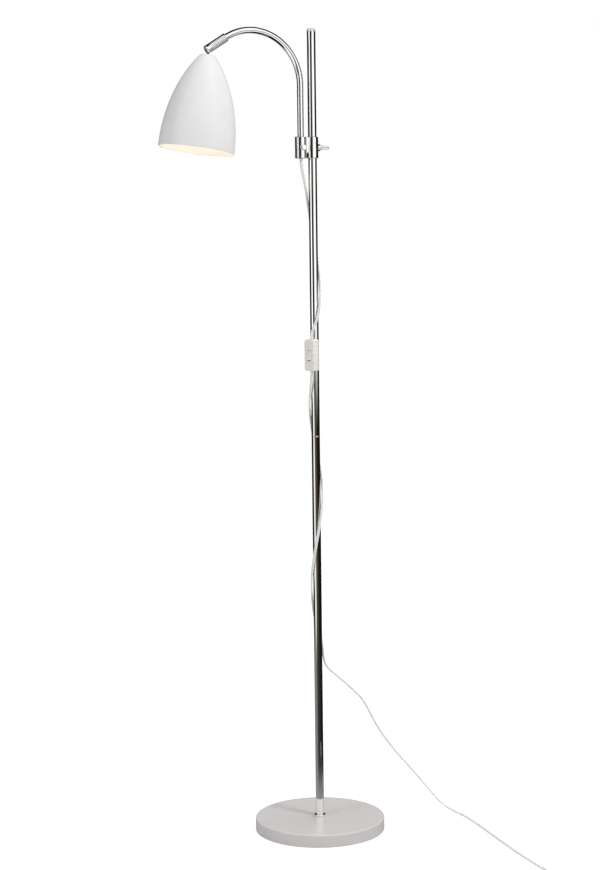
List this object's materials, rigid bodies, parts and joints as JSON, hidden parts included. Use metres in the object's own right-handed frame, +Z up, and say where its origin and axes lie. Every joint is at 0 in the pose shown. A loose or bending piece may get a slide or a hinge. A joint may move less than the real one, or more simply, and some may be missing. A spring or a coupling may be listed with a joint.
{
  "type": "reading floor lamp",
  "caption": "Chrome reading floor lamp: round weighted base, two-part pole, sliding clamp, bent arm, ball-jointed bell shade, corded in-line switch and plug.",
  "frame": {"origin": "centre of the base's underside, on the floor", "axes": "+Z up along the pole, -X from the pole towards the shade, -Y towards the side of the clamp that has the small arm screw"},
  "size_m": [0.5923, 0.6942, 1.532],
  "materials": {
    "cover_paint": "satin",
    "iron": "rough",
    "felt": "felt",
    "steel": "zinc plated",
    "chrome": "polished",
    "dark_steel": "blackened",
    "brass": "satin",
    "pale_plastic": "matte",
    "nylon": "matte",
    "cord_vinyl": "soft sheen",
    "switch_plastic": "semi-gloss",
    "shade_paint": "gloss",
    "holder_plastic": "matte",
    "bulb_metal": "satin",
    "bulb_opal": "opal"
  },
  "bodies": {
    "stand": {"base_cover": "cover_paint", "base_weight": "iron", "base_pad": "felt", "foot_stud": "steel", "foot_washer": "steel", "foot_nut": "steel", "foot_insert": "steel", "foot_collar": "chrome", "lower_pole": "chrome", "lower_insert": "steel", "joint_stud": "steel", "joint_ring": "brass", "upper_insert": "steel", "upper_pole": "chrome", "pole_cap": "pale_plastic", "switch_front": "switch_plastic", "switch_back": "switch_plastic", "switch_screws": "steel", "switch_contacts": "brass", "rocker_pin": "steel", "cord_middle": "cord_vinyl", "cord_lower": "cord_vinyl", "cord_coil": "cord_vinyl", "cord_tie": "nylon", "plug_body": "switch_plastic", "plug_blades": "brass"},
    "height_liner": {"pole_liner": "nylon", "cord_upper": "cord_vinyl"},
    "clamp": {"clamp_body": "chrome"},
    "pole_screw": {"pole_screw": "chrome"},
    "arm_screw": {"arm_screw": "chrome"},
    "arm": {"arm_tube": "chrome", "arm_grommet": "pale_plastic", "arm_lead": "cord_vinyl", "neck_insert": "steel", "grip_sleeve": "chrome", "friction_discs": "steel", "ball_seat": "nylon", "cap_ring": "steel"},
    "neck_cap": {"neck_cap": "chrome"},
    "shade": {"ball_stem": "dark_steel", "shade_shell": "shade_paint", "shade_washer": "steel", "lock_nut": "steel", "holder_cap": "holder_plastic", "holder_body": "holder_plastic", "screw_shell": "brass", "centre_contact": "brass", "bulb_cap": "bulb_metal", "bulb_glass": "bulb_opal"},
    "rocker": {"rocker": "switch_plastic"}
  },
  "joints": [
    {"name": "height_slide", "type": "slide", "parent": "stand", "child": "height_liner", "axis": [0, 0, 1], "range_m": [-0.12, 0.19], "deforming": ["cord_middle"]},
    {"name": "clamp_swivel", "type": "hinge", "parent": "height_liner", "child": "clamp", "pos_m": [0, 0, 1.311], "axis": [0, 0, 1], "range_deg": [-170, 170]},
    {"name": "pole_screw_turn", "type": "hinge", "parent": "clamp", "child": "pole_screw", "pos_m": [0.015, 0, 1.311], "axis": [1, 0, 0], "range_deg": [0, 720]},
    {"name": "arm_screw_turn", "type": "hinge", "parent": "clamp", "child": "arm_screw", "pos_m": [-0.024, -0.012, 1.311], "axis": [0, -1, 0], "range_deg": [0, 720]},
    {"name": "arm_swivel", "type": "hinge", "parent": "clamp", "child": "arm", "pos_m": [-0.024, 0, 1.311], "axis": [0, 0, 1], "range_deg": [-140, 140]},
    {"name": "neck_swivel", "type": "hinge", "parent": "arm", "child": "neck_cap", "pos_m": [-0.20802, 0, 1.48781], "axis": [-0.848, 0, -0.5299], "range_deg": [-150, 150]},
    {"name": "shade_tilt", "type": "hinge", "parent": "neck_cap", "child": "shade", "pos_m": [-0.20802, 0, 1.48781], "axis": [0, -1, 0], "range_deg": [-49, 22.5]},
    {"name": "rocker_press", "type": "hinge", "parent": "stand", "child": "rocker", "pos_m": [-0.01611, -0.0133, 0.9221], "axis": [0.3746, -0.9272, 0], "range_deg": [0, 16]}
  ]
}
